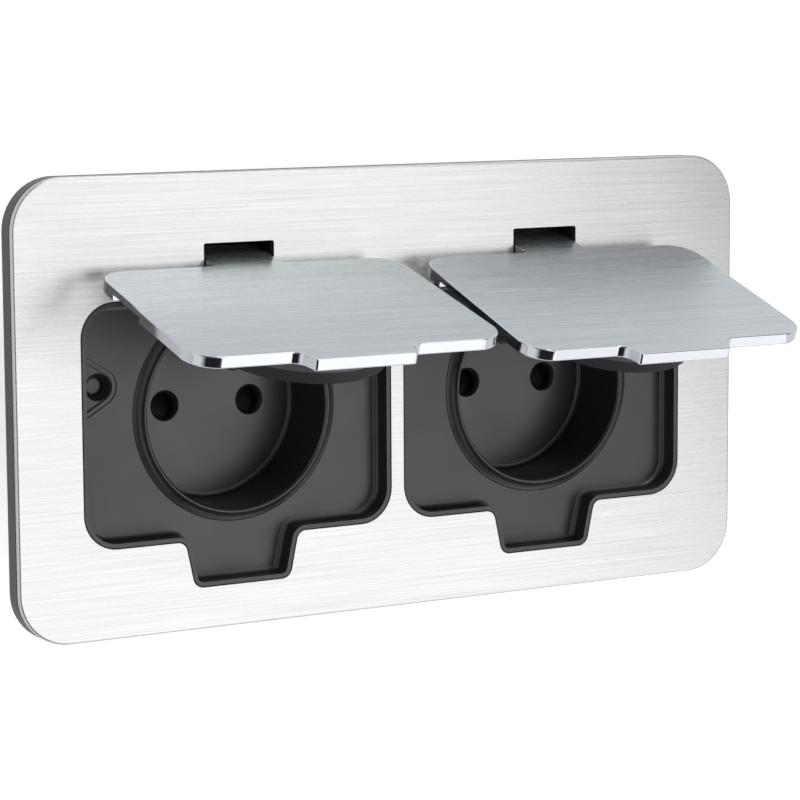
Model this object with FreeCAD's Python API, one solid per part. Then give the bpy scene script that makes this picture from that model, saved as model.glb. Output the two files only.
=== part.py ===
import FreeCAD, Part
import math
import os

# Floor socket box with two earthed sockets under hinged lids.
# Millimetres. X runs along the plate, Y towards the hinges, Z out of the floor.
# The origin is the middle of the plate outline at floor level, under the flange.

Vector = FreeCAD.Vector

# Plate, bonding sheet and moulded flange
SIDE_BORDER = 13.67
FRONT_BORDER = 8.305
PLATE_CORNER = 10.3
PLATE_THICKNESS = 1.2
PLATE_EDGE_ROUND = 0.5
BOND_THICKNESS = 0.2
BOND_INSET = 0.6
FLANGE_THICKNESS = 3.8
FLANGE_EDGE_ROUND = 0.3
FLANGE_SKIN = 1.5
RIB_THICKNESS = 1.2
RIB_PITCH = 12.0
SOCKET_PITCH = 70.86

# Opening in the plate over each socket
OPENING_HALF_WIDTH = 33.95
OPENING_FRONT = -27.18
OPENING_REAR = 20.71
OPENING_CORNER = 7.0
TAB_ROOT_HALF = 12.49
TAB_TIP_HALF = 10.5
TAB_END = -36.52
TAB_TIP_CORNER = 2.3
TAB_ROOT_FILLET = 2.0
NOTCH_HALF_WIDTH = 7.61
NOTCH_REAR = 30.98
NOTCH_CORNER = 0.4

# Tray moulded under each opening
TRAY_DEPTH = 4.1
LIP_GAP = 0.17
LIP_THICKNESS = 0.88
LIP_BELOW_FACE = 0.05
TRAY_FLOOR_FILLET = 1.0

# Cup that takes the plug
CUP_OFFSET_X = 0.69
CUP_CENTRE_Y = -2.36
CUP_HOLE_CLEARANCE = 0.05
CUP_RIM_WIDTH = 0.72
CUP_COVE_WIDTH = 1.77
CUP_RIM_LAND = 0.32
CUP_WALL_DRAFT = 0.52
CUP_MOUTH_CHAMFER = 0.5
CUP_FLOOR_RADIUS = 19.18
CUP_DEPTH = 16.5
CUP_FLOOR_THICKNESS = 2.0
CUP_FLOOR_FILLET = 0.9
CUP_COVE_SAG = 0.36
CUP_FLANGE_REACH = 1.81
CUP_FLANGE_THICKNESS = 2.0
CUP_WALL = 2.12
CUP_SKIRT_WALL = 1.5
CUP_SKIRT_DEPTH = 18.2
LUG_REACH = 2.5
LUG_ANGLE = 35.0
LUG_END_RADIUS = 3.2
LUG_THICKNESS = 2.2
LUG_BOSS_DEPTH = 5.6
LUG_BOSS_GAP = 0.2

# Pin holes, earth pin and contacts
PIN_SPACING = 19.0
PIN_HOLE_RADIUS = 2.5
PIN_HOLE_LEAD_RADIUS = 3.1
PIN_HOLE_LEAD_DEPTH = 0.9
EARTH_PIN_OFFSET = 10.0
EARTH_PIN_RADIUS = 2.4
EARTH_PIN_BELOW_FACE = 3.5
EARTH_PIN_NOSE = 1.6
EARTH_PIN_COLLAR = 3.4
EARTH_PIN_COLLAR_THICKNESS = 1.2
EARTH_PIN_CLEARANCE = 0.05
CONTACT_BORE = 2.45
CONTACT_WALL = 0.85
CONTACT_SLOT = 0.8
CONTACT_BELOW_SHUTTER = 1.2
STRAP_THICKNESS = 1.0
TERMINAL_WIDTH = 6.0
TERMINAL_HEIGHT = 8.0
TERMINAL_X = 12.5
TERMINAL_Y = -7.5
EARTH_TERMINAL_GAP = 2.3
WIRE_HOLE_RADIUS = 1.5
TERMINAL_SCREW_HEIGHT = 4.0
TERMINAL_SCREW_RADIUS = 1.45
TERMINAL_HEAD_RADIUS = 2.4
TERMINAL_HEAD_THICKNESS = 1.4
SCREW_HOLE_CLEARANCE = 0.05
DRIVER_HOLE_RADIUS = 2.8

# Shutter and its spring
SHUTTER_THICKNESS = 3.0
SHUTTER_GAP = 0.1
SHUTTER_HALF_WIDTH = 13.0
SHUTTER_FRONT = -5.0
SHUTTER_REAR = 9.5
SHUTTER_TRAVEL = 6.0
SHUTTER_WINDOW_HALF = 2.8
SHUTTER_NOTCH_HALF = 3.9
SHUTTER_NOTCH_FRONT = 6.2
RAIL_WALL = 1.0
RAIL_LIP = 0.9
SPRING_THICKNESS = 0.35
SPRING_PITCH = 2.4
SPRING_HALF_WIDTH = 4.0
SPRING_RUNS = 6
SPRING_HEIGHT = 2.4

# Rear cover of each socket
COVER_THICKNESS = 1.5
POST_X = 11.0
POST_Y = 13.5
POST_RADIUS = 2.3
COVER_SCREW_RADIUS = 1.0
COVER_SCREW_LENGTH = 8.0
COVER_SCREW_HEAD_RADIUS = 2.0
COVER_SCREW_HEAD_DEPTH = 1.0

# Screws that hold the sockets and the frame
INSERT_SCREW_RADIUS = 1.2
INSERT_SCREW_HEAD_RADIUS = 2.5
INSERT_SCREW_HEAD_HEIGHT = 1.6
INSERT_SCREW_LENGTH = 6.0
FRAME_SCREW_OFFSET = 28.5
FRAME_SCREW_Y = 3.9
FRAME_SCREW_RADIUS = 1.15
FRAME_SCREW_LENGTH = 12.0
FRAME_SCREW_HEAD_RADIUS = 1.75
FRAME_SCREW_HEAD_HEIGHT = 1.2
POCKET_OUTER_RADIUS = 3.7
POCKET_INNER_RADIUS = 2.85
POCKET_OUTER_DEPTH = 0.3
POCKET_INNER_DEPTH = 0.8
POCKET_FAN_ANGLE = 31.0
POCKET_MOUTH_RADIUS = 2.7
POCKET_DEPTH = 3.0
POCKET_HEAD_GAP = 0.1
POCKET_LEDGE = 1.4
FRAME_BOSS_RADIUS = 3.9

# Lid, closed position; the photographed pose turns it open about the hinge
LID_HALF_WIDTH = 32.66
LID_FRONT = -26.06
LID_REAR = 18.53
LID_CORNER = 6.0
LID_THICKNESS = 2.39
LID_EDGE_ROUND = 0.3
LID_TAB_ROOT_HALF = 11.75
LID_TAB_TIP_HALF = 10.5
LID_TAB_END = -30.21
LID_TAB_FILLET = 2.4
LID_TAB_CORNER = 0.7
LID_RIM_GAP = 0.1
TONGUE_HALF_WIDTH = 7.4
TONGUE_REAR = 29.9
TONGUE_CORNER = 0.8
TONGUE_ROOT_FILLET = 0.8
RELIEF_REAR = 9.3
RELIEF_FRONT = -2.5
RELIEF_WIDTH = 2.6
RELIEF_DEPTH = 1.15
LEFT_LID_ANGLE = 73.93
RIGHT_LID_ANGLE = 70.22

# Hinge
HINGE_Y = 25.29
HINGE_BELOW_FACE = 3.685
HINGE_PIN_RADIUS = 1.0
HINGE_PIN_CLEARANCE = 0.03
SLEEVE_WALL = 0.6
KNUCKLE_RADIUS = 3.0
KNUCKLE_CLEARANCE = 0.3
SWING_CLEARANCE = 0.26
WELL_SIDE_GAP = 0.1
WELL_WALL = 1.2
WELL_FRONT_GAP = 0.29
WELL_FLOOR_ANGLE = 5.0
PIN_SEAT = 3.2
PIN_CHANNEL = 24.0
KEEPER_LENGTH = 9.0
KEEPER_GAP = 0.05

# Seal carrier and ring under each lid
CARRIER_RADIUS = 17.5
CARRIER_WALL = 2.3
CARRIER_PLATE = 0.4
CARRIER_HEIGHT = 5.0
SEAL_REACH = 7.2
SEAL_WALL = 1.3

# Gasket under the flange
GASKET_INSET = 2.2
GASKET_WIDTH = 2.6
GASKET_GROOVE = 1.2
GASKET_PROUD = 0.6
GASKET_GAP = 0.05

# Box in the floor
BOX_LUG_GAP = 0.84
BOX_WALL = 1.5
BOX_FLOOR = 1.8
BOX_FLOOR_GAP = 1.2
BOX_DRAFT = 1.1
BOX_BOTTOM_FILLET = 6.0
BOX_WEB_HALF = 17.5
BOX_COLUMN_RADIUS = 3.2
BOX_RIB = 2.0
BOX_FIXING_Y = 25.0
BOX_FIXING_RADIUS = 2.1
ENTRY_Z = -20.0
ENTRY_PAD_HALF = 11.0
ENTRY_CORNER = 2.0
ENTRY_PAD_REACH = 0.7
ENTRY_WALL = 2.0
ENTRY_POCKET_HALF = 9.8
ENTRY_HOLE_HALF = 7.4
GROMMET_FLANGE = 1.2
GROMMET_FLANGE_OVERLAP = 1.5
GROMMET_NOSE = 4.0
GROMMET_NOSE_RADIUS = 6.2
GROMMET_BORE = 4.0
CABLE_CORE_GAP = 0.1

# Heights and places worked out from the sizes above
PLATE_LENGTH = SOCKET_PITCH + 2 * (OPENING_HALF_WIDTH + SIDE_BORDER)
PLATE_WIDTH = 2 * (FRONT_BORDER - TAB_END)
FACE_Z = FLANGE_THICKNESS + BOND_THICKNESS + PLATE_THICKNESS
PLATE_BOTTOM_Z = FLANGE_THICKNESS + BOND_THICKNESS
TRAY_FLOOR_Z = FACE_Z - TRAY_DEPTH
LIP_TOP_Z = FACE_Z - LIP_BELOW_FACE
TRAY_INSET = LIP_GAP + LIP_THICKNESS
LID_BOTTOM_Z = FACE_Z - LID_THICKNESS
CUP_RIM_Z = LID_BOTTOM_Z - LID_RIM_GAP
CUP_FLOOR_Z = FACE_Z - CUP_DEPTH
CUP_MOUTH_RADIUS = CUP_FLOOR_RADIUS + CUP_WALL_DRAFT
CUP_RIM_OUTER = CUP_MOUTH_RADIUS + CUP_RIM_WIDTH
CUP_COLLAR_RADIUS = CUP_RIM_OUTER + CUP_COVE_WIDTH
CUP_FLANGE_RADIUS = CUP_COLLAR_RADIUS + CUP_FLANGE_REACH
CUP_BARREL_RADIUS = CUP_FLOOR_RADIUS + CUP_WALL
LUG_RADIUS = CUP_FLANGE_RADIUS + LUG_REACH
CHAMBER_TOP_Z = CUP_FLOOR_Z - CUP_FLOOR_THICKNESS
CHAMBER_RADIUS = CUP_BARREL_RADIUS - CUP_SKIRT_WALL
CHAMBER_BOTTOM_Z = CHAMBER_TOP_Z - CUP_SKIRT_DEPTH
EARTH_TERMINAL_Y = CHAMBER_RADIUS - TERMINAL_WIDTH / 2 - EARTH_TERMINAL_GAP
BOX_BARREL_RADIUS = LUG_RADIUS + LUG_END_RADIUS - CUP_CENTRE_Y + BOX_LUG_GAP + BOX_WALL + BOX_DRAFT
ENTRY_PAD_REAR = BOX_BARREL_RADIUS + ENTRY_PAD_REACH
BOX_DEPTH = COVER_THICKNESS - CHAMBER_BOTTOM_Z + BOX_FLOOR_GAP + BOX_FLOOR
SHUTTER_TOP_Z = CHAMBER_TOP_Z - SHUTTER_GAP
SHUTTER_BOTTOM_Z = SHUTTER_TOP_Z - SHUTTER_THICKNESS
CONTACT_TOP_Z = SHUTTER_BOTTOM_Z - CONTACT_BELOW_SHUTTER
CONTACT_RADIUS = CONTACT_BORE + CONTACT_WALL
PIN_X = PIN_SPACING / 2
HINGE_Z = FACE_Z - HINGE_BELOW_FACE
SWING_RADIUS = math.hypot(TONGUE_REAR - HINGE_Y, HINGE_BELOW_FACE)
WELL_RADIUS = SWING_RADIUS + SWING_CLEARANCE
WELL_HALF_WIDTH = NOTCH_HALF_WIDTH + WELL_SIDE_GAP
WELL_FRONT_Y = HINGE_Y - KNUCKLE_RADIUS - WELL_FRONT_GAP
PIN_SEAT_RADIUS = HINGE_PIN_RADIUS
SLEEVE_BORE = HINGE_PIN_RADIUS + HINGE_PIN_CLEARANCE
SLEEVE_RADIUS = SLEEVE_BORE + SLEEVE_WALL
POCKET_HEAD_Z = TRAY_FLOOR_Z - POCKET_DEPTH
FRAME_LEDGE_Z = POCKET_HEAD_Z - FRAME_SCREW_HEAD_HEIGHT
FRAME_BOSS_Z = FRAME_LEDGE_Z - POCKET_LEDGE
SIDES = {"left": -1, "right": 1}
LID_ANGLES = {"left": LEFT_LID_ANGLE, "right": RIGHT_LID_ANGLE}

X_AXIS = Vector(1, 0, 0)
Y_AXIS = Vector(0, 1, 0)
Z_AXIS = Vector(0, 0, 1)


# Small helpers

def socket_x(side):
    return SIDES[side] * SOCKET_PITCH / 2


def cup_centre(side):
    return Vector(socket_x(side) + CUP_OFFSET_X, CUP_CENTRE_Y, 0)


def outline(corners, z):
    """Closed wire through (x, y, corner radius), with tangent arcs at the corners."""
    ends = []
    count = len(corners)
    for i in range(count):
        x, y, radius = corners[i]
        point = Vector(x, y, z)
        before = corners[i - 1]
        after = corners[(i + 1) % count]
        arrive = (point - Vector(before[0], before[1], z)).normalize()
        leave = (Vector(after[0], after[1], z) - point).normalize()
        turn = arrive.getAngle(leave)
        reach = radius * math.tan(turn / 2)
        bisector = (leave - arrive).normalize()
        sag = radius / math.cos(turn / 2) - radius
        ends.append((point - arrive * reach, point + bisector * sag, point + leave * reach, radius))
    edges = []
    for i in range(count):
        start, middle, end, radius = ends[i]
        if radius > 0:
            edges.append(Part.Arc(start, middle, end).toShape())
        following = ends[(i + 1) % count][0]
        if end.distanceToPoint(following) > 1e-6:
            edges.append(Part.makeLine(end, following))
    return Part.Wire(edges)


def prism(corners, bottom, top):
    face = Part.Face(outline(corners, bottom))
    return face.extrude(Vector(0, 0, top - bottom))


def rectangle(half_x, half_y, corner):
    return [(half_x, -half_y, corner), (half_x, half_y, corner),
            (-half_x, half_y, corner), (-half_x, -half_y, corner)]


def shifted(corners, x, y=0.0):
    return [(cx + x, cy + y, radius) for cx, cy, radius in corners]


def box(x0, x1, y0, y1, z0, z1):
    low = Vector(min(x0, x1), min(y0, y1), min(z0, z1))
    return Part.makeBox(abs(x1 - x0), abs(y1 - y0), abs(z1 - z0), low)


def rod(radius, start, end):
    axis = end - start
    return Part.makeCylinder(radius, axis.Length, start, axis)


def upright(radius, x, y, z0, z1):
    return rod(radius, Vector(x, y, z0), Vector(x, y, z1))


def ring(outer, inner, x, y, z0, z1):
    return upright(outer, x, y, z0, z1).cut(upright(inner, x, y, z0, z1))


def turned(edges, x, y):
    """Solid of revolution about the upright axis at x, y; the profile lies in the XZ plane."""
    face = Part.Face(Part.Wire(edges))
    solid = face.revolve(Vector(0, 0, 0), Z_AXIS, 360)
    solid.translate(Vector(x, y, 0))
    return solid


def profile_lines(points):
    return [Part.makeLine(a, b) for a, b in zip(points, points[1:])]


def fuse(shapes):
    return shapes[0].multiFuse(shapes[1:]).removeSplitter()


def level_edges(shape, z):
    return [edge for edge in shape.Edges
            if all(abs(vertex.Z - z) < 1e-6 for vertex in edge.Vertexes)
            and abs(edge.CenterOfMass.z - z) < 1e-6]


# Outlines shared by the plate, the tray and the lid

def tray_outline(inset):
    """The opening without its hinge notch, drawn in by an even inset."""
    slope = (TAB_ROOT_HALF - TAB_TIP_HALF) / (OPENING_FRONT - TAB_END)
    side_inset = inset * math.hypot(1, slope)
    root = TAB_ROOT_HALF + slope * inset - side_inset
    tip = TAB_TIP_HALF + slope * inset - side_inset
    half = OPENING_HALF_WIDTH - inset
    front = OPENING_FRONT + inset
    rear = OPENING_REAR - inset
    corner = OPENING_CORNER - inset
    tip_corner = TAB_TIP_CORNER - inset
    root_fillet = TAB_ROOT_FILLET + inset
    return [(half, front, corner), (half, rear, corner),
            (-half, rear, corner), (-half, front, corner),
            (-root, front, root_fillet), (-tip, TAB_END + inset, tip_corner),
            (tip, TAB_END + inset, tip_corner), (root, front, root_fillet)]


def opening_outline():
    """The whole opening in the plate: tray outline and hinge notch in one."""
    plain = tray_outline(0)
    notch = [(NOTCH_HALF_WIDTH, OPENING_REAR, 0), (NOTCH_HALF_WIDTH, NOTCH_REAR, NOTCH_CORNER),
             (-NOTCH_HALF_WIDTH, NOTCH_REAR, NOTCH_CORNER), (-NOTCH_HALF_WIDTH, OPENING_REAR, 0)]
    return plain[:2] + notch + plain[2:]


def lid_outline():
    return [(LID_HALF_WIDTH, LID_FRONT, LID_CORNER), (LID_HALF_WIDTH, LID_REAR, LID_CORNER),
            (TONGUE_HALF_WIDTH, LID_REAR, TONGUE_ROOT_FILLET),
            (TONGUE_HALF_WIDTH, TONGUE_REAR, TONGUE_CORNER),
            (-TONGUE_HALF_WIDTH, TONGUE_REAR, TONGUE_CORNER),
            (-TONGUE_HALF_WIDTH, LID_REAR, TONGUE_ROOT_FILLET),
            (-LID_HALF_WIDTH, LID_REAR, LID_CORNER), (-LID_HALF_WIDTH, LID_FRONT, LID_CORNER),
            (-LID_TAB_ROOT_HALF, LID_FRONT, LID_TAB_FILLET),
            (-LID_TAB_TIP_HALF, LID_TAB_END, LID_TAB_CORNER),
            (LID_TAB_TIP_HALF, LID_TAB_END, LID_TAB_CORNER),
            (LID_TAB_ROOT_HALF, LID_FRONT, LID_TAB_FILLET)]


# Plate, sheet and gasket

def make_cover_plate():
    blank = prism(rectangle(PLATE_LENGTH / 2, PLATE_WIDTH / 2, PLATE_CORNER), PLATE_BOTTOM_Z, FACE_Z)
    blank = blank.makeFillet(PLATE_EDGE_ROUND, level_edges(blank, FACE_Z))
    for side in SIDES:
        corners = shifted(opening_outline(), socket_x(side))
        blank = blank.cut(prism(corners, PLATE_BOTTOM_Z, FACE_Z))
    return blank


def make_bonding_sheet():
    half_x = PLATE_LENGTH / 2 - BOND_INSET
    half_y = PLATE_WIDTH / 2 - BOND_INSET
    sheet = prism(rectangle(half_x, half_y, PLATE_CORNER - BOND_INSET), FLANGE_THICKNESS, PLATE_BOTTOM_Z)
    for side in SIDES:
        x = socket_x(side)
        sheet = sheet.cut(prism(shifted(tray_outline(-BOND_INSET), x), FLANGE_THICKNESS, PLATE_BOTTOM_Z))
        well = WELL_HALF_WIDTH + BOND_INSET
        sheet = sheet.cut(box(x - well, x + well, 0, HINGE_Y + WELL_RADIUS + BOND_INSET,
                              FLANGE_THICKNESS, PLATE_BOTTOM_Z))
    return sheet


def gasket_band(outer_inset, width, z0, z1):
    inner_inset = outer_inset + width
    outer = prism(rectangle(PLATE_LENGTH / 2 - outer_inset, PLATE_WIDTH / 2 - outer_inset,
                            PLATE_CORNER - outer_inset), z0, z1)
    inner = prism(rectangle(PLATE_LENGTH / 2 - inner_inset, PLATE_WIDTH / 2 - inner_inset,
                            PLATE_CORNER - inner_inset), z0, z1)
    return outer.cut(inner)


def make_flange_gasket():
    return gasket_band(GASKET_INSET + GASKET_GAP, GASKET_WIDTH - 2 * GASKET_GAP,
                       -GASKET_PROUD, GASKET_GROOVE)


# Moulded frame

def box_footprint(grow, z0, z1):
    """Outline of the floor box at its rim, grown outwards, as a solid between two heights."""
    radius = BOX_BARREL_RADIUS + grow
    half = BOX_WEB_HALF + grow
    reach = SOCKET_PITCH / 2
    return fuse([upright(radius, -reach, 0, z0, z1), upright(radius, reach, 0, z0, z1),
                 box(-reach, reach, -half, half, z0, z1)])


def flange_coring():
    """Pockets moulded into the underside of the flange, parted by ribs."""
    top = FLANGE_THICKNESS - FLANGE_SKIN
    inset = GASKET_INSET + GASKET_WIDTH + FLANGE_SKIN
    half_x = PLATE_LENGTH / 2 - inset
    half_y = PLATE_WIDTH / 2 - inset
    pockets = prism(rectangle(half_x, half_y, PLATE_CORNER - inset), 0, top)
    pockets = pockets.cut(box_footprint(FLANGE_SKIN, 0, top))
    for side in SIDES:
        pockets = pockets.cut(prism(shifted(tray_outline(LIP_GAP - FLANGE_SKIN), socket_x(side)), 0, top))
    ribs = []
    for i in range(-int(half_x / RIB_PITCH), int(half_x / RIB_PITCH) + 1):
        x = (i + 0.5) * RIB_PITCH
        ribs.append(box(x - RIB_THICKNESS / 2, x + RIB_THICKNESS / 2, -half_y, half_y, 0, top))
    return pockets.cut(ribs)


def hinge_well(side):
    """Space under the notch in which the knuckle and the end of the tongue swing."""
    x = socket_x(side) - WELL_HALF_WIDTH
    floor_turn = math.radians(90 + WELL_FLOOR_ANGLE)
    rear_top = Vector(x, HINGE_Y + WELL_RADIUS, FACE_Z)
    rear = Vector(x, HINGE_Y + WELL_RADIUS, HINGE_Z)
    middle = Vector(x, HINGE_Y + WELL_RADIUS * math.cos(floor_turn / 2),
                    HINGE_Z - WELL_RADIUS * math.sin(floor_turn / 2))
    low = Vector(x, HINGE_Y + WELL_RADIUS * math.cos(floor_turn),
                 HINGE_Z - WELL_RADIUS * math.sin(floor_turn))
    front_low = Vector(x, WELL_FRONT_Y, HINGE_Z - KNUCKLE_RADIUS - KNUCKLE_CLEARANCE)
    front = Vector(x, WELL_FRONT_Y, TRAY_FLOOR_Z)
    tray = Vector(x, OPENING_REAR - 2 * TRAY_INSET, TRAY_FLOOR_Z)
    tray_top = Vector(x, OPENING_REAR - 2 * TRAY_INSET, FACE_Z)
    edges = profile_lines([rear_top, rear]) + [Part.Arc(rear, middle, low).toShape()]
    edges += profile_lines([low, front_low, front, tray, tray_top, rear_top])
    return Part.Face(Part.Wire(edges)).extrude(Vector(2 * WELL_HALF_WIDTH, 0, 0))


def well_housing(side):
    """Walls round the hinge well where it hangs below the flange."""
    half = WELL_HALF_WIDTH + WELL_WALL
    x = socket_x(side) - half
    radius = WELL_RADIUS + WELL_WALL
    front_y = WELL_FRONT_Y - WELL_WALL
    turn = math.radians(90 + WELL_FLOOR_ANGLE)
    low = Vector(x, HINGE_Y + radius * math.cos(turn), HINGE_Z - radius * math.sin(turn))
    middle = Vector(x, HINGE_Y + radius * math.cos(turn / 2), HINGE_Z - radius * math.sin(turn / 2))
    rear = Vector(x, HINGE_Y + math.sqrt(radius ** 2 - HINGE_Z ** 2), 0)
    front = Vector(x, front_y, 0)
    front_low = Vector(x, front_y, low.z + (low.y - front_y))
    edges = profile_lines([low, front_low, front, rear]) + [Part.Arc(rear, middle, low).toShape()]
    housing = Part.Face(Part.Wire(edges)).extrude(Vector(2 * half, 0, 0))
    overlap = box(x, x + 2 * half, front_y, rear.y, 0, TRAY_FLOOR_Z)
    return fuse([housing, overlap])


def pin_bore(side):
    """Blind seat for the hinge pin on one side, and its way in along the flange on the other."""
    x = socket_x(side)
    inward = -SIDES[side]
    radius = PIN_SEAT_RADIUS
    deep = Vector(x - inward * (WELL_HALF_WIDTH + PIN_SEAT), HINGE_Y, HINGE_Z)
    mouth_x = x + inward * (WELL_HALF_WIDTH + PIN_CHANNEL)
    seat = rod(radius, deep, Vector(mouth_x, HINGE_Y, HINGE_Z))
    near_x = x + inward * (WELL_HALF_WIDTH + WELL_WALL)
    slot = box(near_x, mouth_x, HINGE_Y - radius, HINGE_Y + radius, 0, HINGE_Z)
    return fuse([seat, slot])


def frame_screw_place(side):
    return Vector(socket_x(side) + SIDES[side] * FRAME_SCREW_OFFSET, FRAME_SCREW_Y, 0)


def fan(side, radius, depth):
    """Pocket round the frame screw: a round end with two sides that spread to the tray wall."""
    place = frame_screw_place(side)
    outward = SIDES[side]
    spread = math.radians(POCKET_FAN_ANGLE)
    reach = OPENING_HALF_WIDTH
    edge_x = -outward * radius * math.sin(spread)
    edge_y = radius * math.cos(spread)
    upper = place + Vector(edge_x, edge_y, TRAY_FLOOR_Z - depth)
    lower = place + Vector(edge_x, -edge_y, TRAY_FLOOR_Z - depth)
    run = Vector(outward * reach * math.cos(spread), reach * math.sin(spread), 0)
    run_low = Vector(run.x, -run.y, 0)
    nose = place + Vector(-outward * radius, 0, TRAY_FLOOR_Z - depth)
    edges = [Part.Arc(upper, nose, lower).toShape()]
    edges += profile_lines([lower, lower + run_low, upper + run, upper])
    pocket = Part.Face(Part.Wire(edges)).extrude(Vector(0, 0, depth))
    tray = prism(shifted(tray_outline(TRAY_INSET), socket_x(side)), TRAY_FLOOR_Z - depth, TRAY_FLOOR_Z)
    return pocket.common(tray)


def screw_pocket(side):
    place = frame_screw_place(side)
    floor_z = TRAY_FLOOR_Z - POCKET_INNER_DEPTH
    seat_radius = FRAME_SCREW_HEAD_RADIUS + POCKET_HEAD_GAP
    cone = Part.makeCone(seat_radius, POCKET_MOUTH_RADIUS, floor_z - POCKET_HEAD_Z,
                         Vector(place.x, place.y, POCKET_HEAD_Z))
    seat = upright(seat_radius, place.x, place.y, FRAME_LEDGE_Z, POCKET_HEAD_Z)
    shank = upright(FRAME_SCREW_RADIUS + POCKET_HEAD_GAP, place.x, place.y, FRAME_BOSS_Z, FRAME_LEDGE_Z)
    return [fan(side, POCKET_OUTER_RADIUS, POCKET_OUTER_DEPTH),
            fan(side, POCKET_INNER_RADIUS, POCKET_INNER_DEPTH), cone, seat, shank]


def lug_places(side):
    centre = cup_centre(side)
    places = []
    for angle in (LUG_ANGLE, LUG_ANGLE + 180):
        turn = math.radians(angle)
        places.append(centre + Vector(LUG_RADIUS * math.cos(turn), LUG_RADIUS * math.sin(turn), 0))
    return places


def tray_cavity(side):
    corners = shifted(tray_outline(TRAY_INSET), socket_x(side))
    cavity = prism(corners, TRAY_FLOOR_Z, FACE_Z)
    return cavity.makeFillet(TRAY_FLOOR_FILLET, level_edges(cavity, TRAY_FLOOR_Z))


def make_base_frame():
    flange = prism(rectangle(PLATE_LENGTH / 2, PLATE_WIDTH / 2, PLATE_CORNER), 0, FLANGE_THICKNESS)
    flange = flange.makeFillet(FLANGE_EDGE_ROUND, level_edges(flange, 0))
    solids = [flange]
    cuts = [gasket_band(GASKET_INSET, GASKET_WIDTH, 0, GASKET_GROOVE), flange_coring()]
    for side in SIDES:
        x = socket_x(side)
        place = frame_screw_place(side)
        solids.append(prism(shifted(tray_outline(LIP_GAP), x), TRAY_FLOOR_Z, LIP_TOP_Z))
        solids.append(well_housing(side))
        solids.append(upright(FRAME_BOSS_RADIUS, place.x, place.y, FRAME_BOSS_Z, TRAY_FLOOR_Z))
        centre = cup_centre(side)
        hole_radius = CUP_COLLAR_RADIUS + CUP_HOLE_CLEARANCE
        cuts.append(tray_cavity(side))
        cuts.append(upright(hole_radius, centre.x, centre.y, 0, TRAY_FLOOR_Z))
        cuts.append(hinge_well(side))
        cuts.append(pin_bore(side))
        cuts += screw_pocket(side)
        for lug in lug_places(side):
            solids.append(upright(LUG_END_RADIUS, lug.x, lug.y, -LUG_BOSS_DEPTH, TRAY_FLOOR_Z))
            cuts.append(upright(INSERT_SCREW_RADIUS, lug.x, lug.y, -LUG_BOSS_DEPTH,
                                TRAY_FLOOR_Z - FLANGE_EDGE_ROUND))
    return fuse(solids).cut(cuts)


# Socket: cup, pins, contacts, shutter and rear cover

def make_cup_body(side):
    centre = cup_centre(side)
    land = CUP_RIM_OUTER - CUP_RIM_LAND
    wall_foot = Vector(CUP_FLOOR_RADIUS, 0, CUP_FLOOR_Z + CUP_FLOOR_FILLET)
    floor_edge = Vector(CUP_FLOOR_RADIUS - CUP_FLOOR_FILLET, 0, CUP_FLOOR_Z)
    bend = CUP_FLOOR_FILLET * (1 - math.sqrt(0.5))
    foot_middle = Vector(CUP_FLOOR_RADIUS - bend, 0, CUP_FLOOR_Z + bend)
    rim = Vector(CUP_RIM_OUTER, 0, CUP_RIM_Z)
    collar = Vector(CUP_COLLAR_RADIUS, 0, TRAY_FLOOR_Z)
    cove = (rim + collar) * 0.5 - Vector(CUP_COVE_SAG, 0, CUP_COVE_SAG) * math.sqrt(0.5)
    inside = [Vector(0, 0, CHAMBER_TOP_Z), Vector(0, 0, CUP_FLOOR_Z), floor_edge]
    mouth = [wall_foot, Vector(CUP_MOUTH_RADIUS, 0, CUP_RIM_Z - CUP_MOUTH_CHAMFER),
             Vector(land, 0, CUP_RIM_Z), rim]
    outside = [collar, Vector(CUP_COLLAR_RADIUS, 0, 0), Vector(CUP_FLANGE_RADIUS, 0, 0),
               Vector(CUP_FLANGE_RADIUS, 0, -CUP_FLANGE_THICKNESS),
               Vector(CUP_BARREL_RADIUS, 0, -CUP_FLANGE_THICKNESS),
               Vector(CUP_BARREL_RADIUS, 0, CHAMBER_BOTTOM_Z),
               Vector(CHAMBER_RADIUS, 0, CHAMBER_BOTTOM_Z),
               Vector(CHAMBER_RADIUS, 0, CHAMBER_TOP_Z), Vector(0, 0, CHAMBER_TOP_Z)]
    edges = profile_lines(inside) + [Part.Arc(floor_edge, foot_middle, wall_foot).toShape()]
    edges += profile_lines(mouth) + [Part.Arc(rim, cove, collar).toShape()]
    edges += profile_lines(outside)
    return turned(edges, centre.x, centre.y)


def shutter_rails(x, y):
    """Rails either side of the shutter that carry it under the cup floor."""
    inner = SHUTTER_HALF_WIDTH + SHUTTER_GAP
    outer = inner + RAIL_WALL
    front = y + SHUTTER_FRONT - SHUTTER_TRAVEL - SHUTTER_GAP
    rear = y + SHUTTER_REAR + SHUTTER_GAP
    lip_top = SHUTTER_BOTTOM_Z - SHUTTER_GAP
    lip_bottom = CONTACT_TOP_Z + SHUTTER_GAP
    rails = []
    for hand in (-1, 1):
        rails.append(box(x + hand * inner, x + hand * outer, front, rear, lip_bottom, CHAMBER_TOP_Z))
        rails.append(box(x + hand * (inner - RAIL_LIP), x + hand * outer, front, rear, lip_bottom, lip_top))
    return rails


def terminals(x, y):
    """Centre and outward direction of the live, neutral and earth terminals."""
    return {"live": (Vector(x - TERMINAL_X, y + TERMINAL_Y, 0), Vector(-1, 0, 0)),
            "neutral": (Vector(x + TERMINAL_X, y + TERMINAL_Y, 0), Vector(1, 0, 0)),
            "earth": (Vector(x, y + EARTH_TERMINAL_Y, 0), Vector(0, 1, 0))}


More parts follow.
